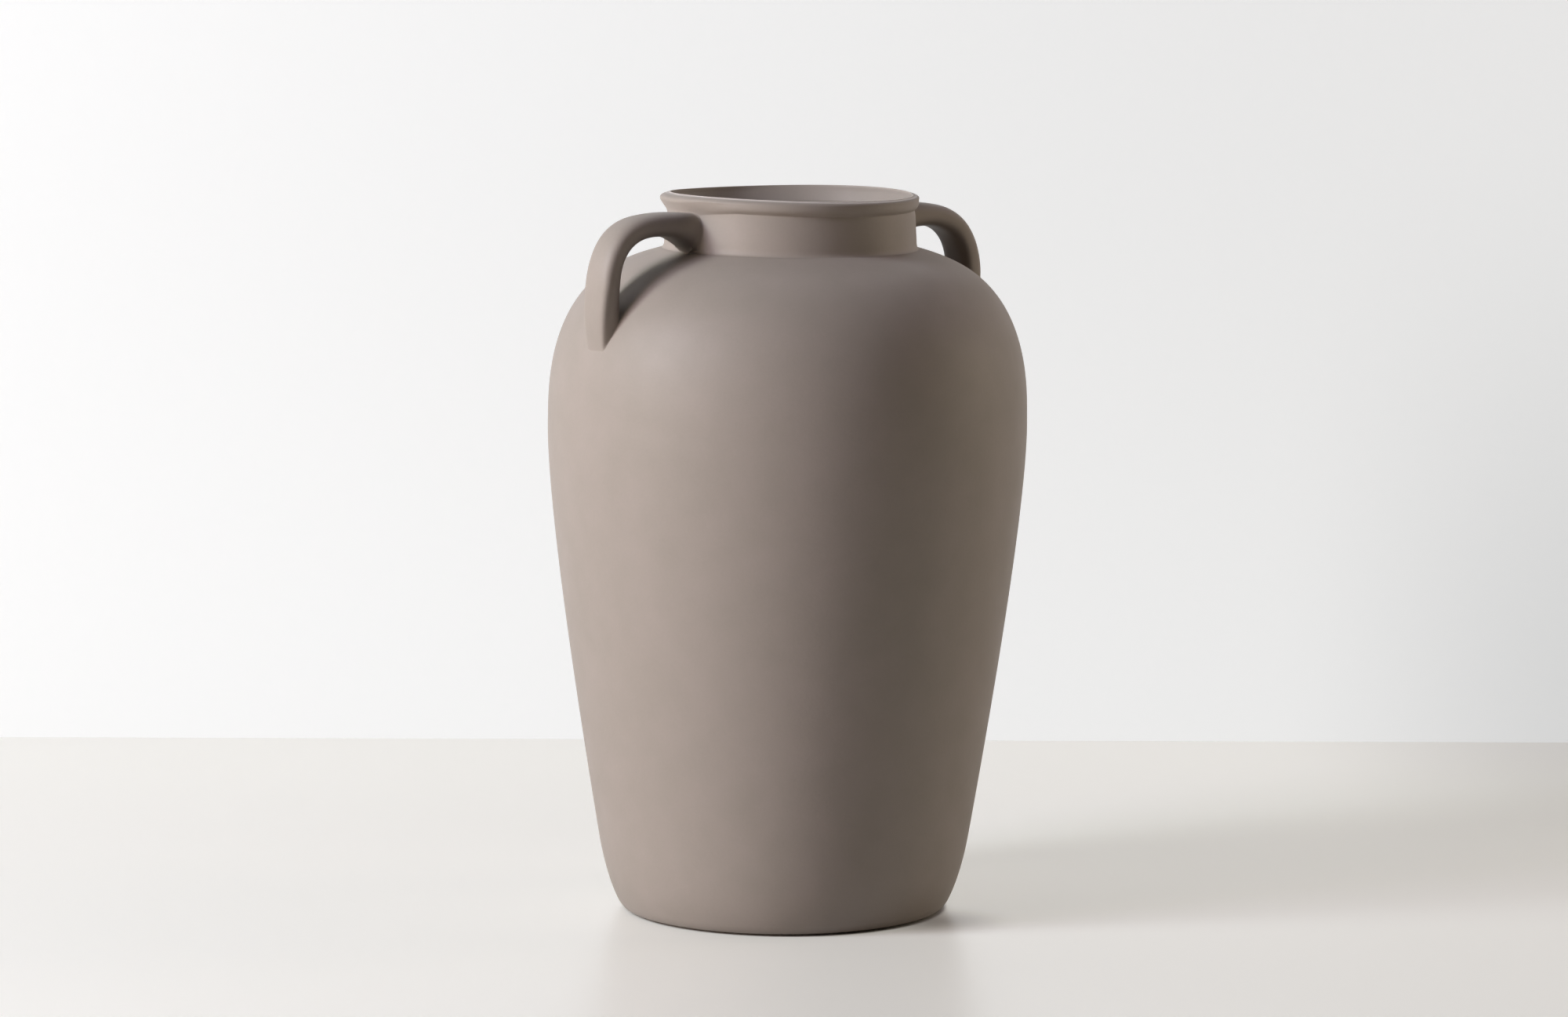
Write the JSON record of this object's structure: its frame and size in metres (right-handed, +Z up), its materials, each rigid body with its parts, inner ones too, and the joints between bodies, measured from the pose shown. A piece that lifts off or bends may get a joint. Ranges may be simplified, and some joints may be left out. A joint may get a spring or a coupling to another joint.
{
  "type": "handled vase",
  "caption": "Matt ceramic vase with a narrow foot, swelling body, broad shoulder, short neck and rolled rim, and a strap handle arching from neck to shoulder on each side.",
  "frame": {"origin": "centre of the foot ring on the plane the vase stands on", "axes": "+Z up along the vase's turning axis, +X through the middle of one handle and -X through the middle of the other, +Y across them"},
  "size_m": [0.2652, 0.2652, 0.4],
  "materials": {
    "clay_body": "matt, unglazed or matt-glazed taupe stoneware with a very faint mottle",
    "clay_foot": "matt bare clay, wiped clean for the kiln shelf"
  },
  "bodies": {
    "root": {"foot_ring": "clay_foot", "base_disc": "clay_foot", "lower_body": "clay_body", "upper_body": "clay_body", "neck": "clay_body", "rim": "clay_body", "handle_right": "clay_body", "handle_left": "clay_body"}
  },
  "joints": []
}
